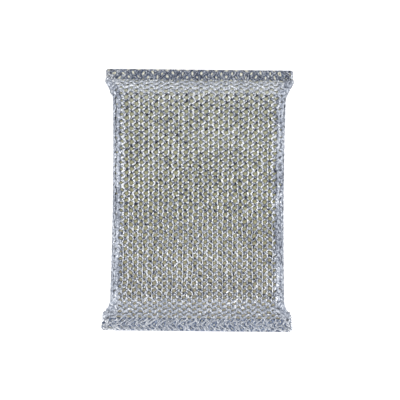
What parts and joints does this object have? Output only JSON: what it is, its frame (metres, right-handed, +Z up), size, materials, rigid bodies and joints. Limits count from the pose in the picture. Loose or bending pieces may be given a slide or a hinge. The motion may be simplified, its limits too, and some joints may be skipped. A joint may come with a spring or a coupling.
{
  "type": "scouring pad",
  "caption": "Flat foam scouring pad in a tubular net sleeve of metallised yarn, closed by a fused strip at each end.",
  "frame": {"origin": "under the middle of the pad, on the surface that it lies on", "axes": "+X across the pad, +Y along it towards the far sealed end, +Z up out of its top face"},
  "size_m": [0.091, 0.1264, 0.016],
  "materials": {
    "foam": "matt open-cell foam, khaki",
    "metallised_yarn": "knitted silvery film yarn with bright glints",
    "fused_yarn": "flattened and fused silvery yarn, blue-grey"
  },
  "bodies": {
    "root": {"foam_core": "foam", "mesh_sleeve": "metallised_yarn", "far_end_seal": "fused_yarn", "near_end_seal": "fused_yarn"}
  },
  "joints": []
}
